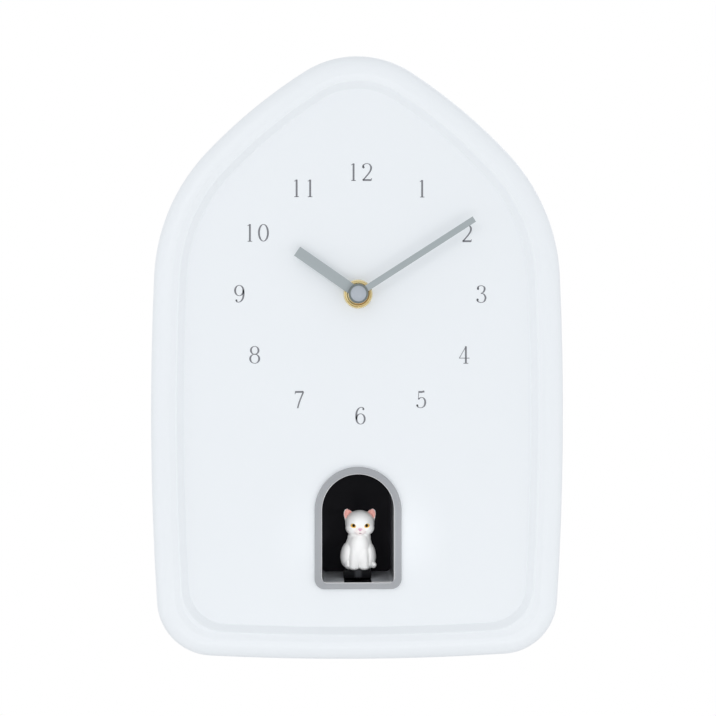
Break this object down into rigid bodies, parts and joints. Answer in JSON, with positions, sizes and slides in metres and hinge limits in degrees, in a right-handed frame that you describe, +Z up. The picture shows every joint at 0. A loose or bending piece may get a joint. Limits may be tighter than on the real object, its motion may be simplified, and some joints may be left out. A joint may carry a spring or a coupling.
{
  "type": "cat tail clock",
  "caption": "House-shaped white quartz wall clock with a recessed dial, bar hands and a small sitting cat that slides forward on a runway in an arched window.",
  "frame": {"origin": "centre of the keyhole's round hole, on the back face that lies against the wall", "axes": "+Z up along the clock's height, +Y towards the wall (the dial faces -Y), +X to the right as seen from the front"},
  "size_m": [0.2052, 0.063, 0.2998],
  "materials": {
    "shell_white": "smooth satin-gloss moulded",
    "cover_white": "fine grained moulded",
    "screw_steel": "zinc plated",
    "bumper_rubber": "matt",
    "bezel_grey": "gloss moulded",
    "niche_black": "matt black",
    "runway_black": "gloss black",
    "cat_white": "gloss painted resin",
    "gasket_rubber": "matt",
    "brass": "turned and polished",
    "hand_grey": "satin painted grey",
    "movement_black": "fine spark texture",
    "steel_dark": "rolled sheet",
    "bobbin_white": "moulded",
    "copper": "enamelled copper wire",
    "board_green": "solder mask",
    "chip_black": "epoxy",
    "crystal_metal": "tinned can",
    "contact_metal": "nickel plated",
    "cell_sleeve": "printed sleeve with metal ends",
    "gear_white": "moulded acetal",
    "gear_black": "moulded acetal",
    "arbor_steel": "turned",
    "magnet_grey": "sintered",
    "knob_black": "moulded",
    "chassis_grey": "moulded",
    "motor_steel": "drawn can",
    "cap_nylon": "moulded",
    "paper_cone": "pressed",
    "speaker_steel": "stamped"
  },
  "bodies": {
    "case": {"front_shell": "shell_white", "rear_cover": "cover_white", "cover_screws": "screw_steel", "wall_bumpers": "bumper_rubber", "window_frame": "bezel_grey", "niche_back": "niche_black", "carriage_track": "runway_black", "movement_gasket": "gasket_rubber", "centre_bush": "brass", "movement_washer": "brass", "movement_nut": "brass", "movement_front_case": "movement_black", "movement_rear_case": "movement_black", "stator": "steel_dark", "coil_bobbin": "bobbin_white", "coil_winding": "copper", "movement_board": "board_green", "movement_chip": "chip_black", "quartz_crystal": "crystal_metal", "movement_contacts": "contact_metal", "clock_battery": "cell_sleeve", "drive_chassis": "chassis_grey", "chassis_screws": "screw_steel", "motor_can": "motor_steel", "motor_end_cap": "cap_nylon", "end_switches": "chip_black", "sound_batteries": "cell_sleeve", "sound_contacts": "contact_metal", "speaker_frame": "speaker_steel", "speaker_magnet": "magnet_grey", "speaker_cone": "paper_cone", "sound_board": "board_green", "sound_chips": "chip_black", "switch_body": "chip_black", "button_body": "chip_black"},
    "minute": {"minute_arbor": "arbor_steel", "centre_wheel": "gear_white", "minute_hand": "hand_grey", "hand_cap": "hand_grey"},
    "hour": {"hour_wheel": "gear_white", "hour_hand": "hand_grey"},
    "motion": {"motion_wheel": "gear_white"},
    "knob": {"setting_knob": "knob_black"},
    "third": {"third_wheel": "gear_white"},
    "second": {"second_wheel": "gear_white"},
    "intermediate": {"intermediate_wheel": "gear_white"},
    "rotor": {"rotor_magnet": "magnet_grey", "rotor_pinion": "gear_black"},
    "cat": {"cat_carriage": "runway_black", "cat_figure": "cat_white"},
    "final_drive": {"drive_gear": "gear_white"},
    "reduction": {"reduction_gear": "gear_white"},
    "motor": {"motor_pinion": "arbor_steel"},
    "door": {"battery_door": "cover_white"},
    "slider": {"switch_slider": "knob_black"},
    "button": {"test_button": "knob_black"}
  },
  "joints": [
    {"name": "minute_turn", "type": "hinge", "parent": "case", "child": "minute", "pos_m": [0, -0.06, -0.085], "axis": [0, 1, 0], "continuous": true},
    {"name": "hour_turn", "type": "hinge", "parent": "case", "child": "hour", "pos_m": [0, -0.058, -0.085], "axis": [0, 1, 0], "continuous": true},
    {"name": "motion_turn", "type": "hinge", "parent": "case", "child": "motion", "pos_m": [-0.0096, -0.042, -0.085], "axis": [0, 1, 0], "continuous": true},
    {"name": "knob_turn", "type": "hinge", "parent": "case", "child": "knob", "pos_m": [-0.01791, -0.042, -0.0802], "axis": [0, 1, 0], "continuous": true},
    {"name": "third_turn", "type": "hinge", "parent": "case", "child": "third", "pos_m": [0.006, -0.042, -0.07829], "axis": [0, 1, 0], "continuous": true},
    {"name": "second_turn", "type": "hinge", "parent": "case", "child": "second", "pos_m": [0.008, -0.042, -0.07003], "axis": [0, 1, 0], "continuous": true},
    {"name": "intermediate_turn", "type": "hinge", "parent": "case", "child": "intermediate", "pos_m": [0.00101, -0.042, -0.0683], "axis": [0, 1, 0], "continuous": true},
    {"name": "rotor_turn", "type": "hinge", "parent": "case", "child": "rotor", "pos_m": [-0.00588, -0.042, -0.06952], "axis": [0, 1, 0], "continuous": true},
    {"name": "cat_slide", "type": "slide", "parent": "case", "child": "cat", "axis": [0, -1, 0], "range_m": [0, 0.012]},
    {"name": "final_turn", "type": "hinge", "parent": "case", "child": "final_drive", "pos_m": [0, -0.034, -0.24163], "axis": [1, 0, 0], "range_deg": [0, 138.01]},
    {"name": "reduction_turn", "type": "hinge", "parent": "case", "child": "reduction", "pos_m": [0, -0.02219, -0.24574], "axis": [1, 0, 0], "range_deg": [-552.04, 0]},
    {"name": "motor_turn", "type": "hinge", "parent": "case", "child": "motor", "pos_m": [0, -0.03119, -0.25442], "axis": [1, 0, 0], "range_deg": [0, 2208.16]},
    {"name": "door_lift", "type": "slide", "parent": "case", "child": "door", "axis": [0, 1, 0], "range_m": [0, 0.03]},
    {"name": "switch_slide", "type": "slide", "parent": "case", "child": "slider", "axis": [1, 0, 0], "range_m": [-0.002, 0.002]},
    {"name": "button_press", "type": "slide", "parent": "case", "child": "button", "axis": [0, -1, 0], "range_m": [0, 0.0012], "stiffness_N_per_m": 600, "springref_m": -0.001}
  ],
  "couplings": [
    {"joint": "hour_turn", "follows": "minute_turn", "ratio": 0.083333},
    {"joint": "motion_turn", "follows": "minute_turn", "ratio": -0.33333},
    {"joint": "knob_turn", "follows": "minute_turn", "ratio": 1},
    {"joint": "third_turn", "follows": "minute_turn", "ratio": -8},
    {"joint": "second_turn", "follows": "minute_turn", "ratio": 60},
    {"joint": "intermediate_turn", "follows": "minute_turn", "ratio": -300},
    {"joint": "rotor_turn", "follows": "minute_turn", "ratio": 1800},
    {"joint": "final_turn", "follows": "cat_slide", "rad_per_m": 200},
    {"joint": "reduction_turn", "follows": "cat_slide", "rad_per_m": -800},
    {"joint": "motor_turn", "follows": "cat_slide", "rad_per_m": 3200}
  ]
}
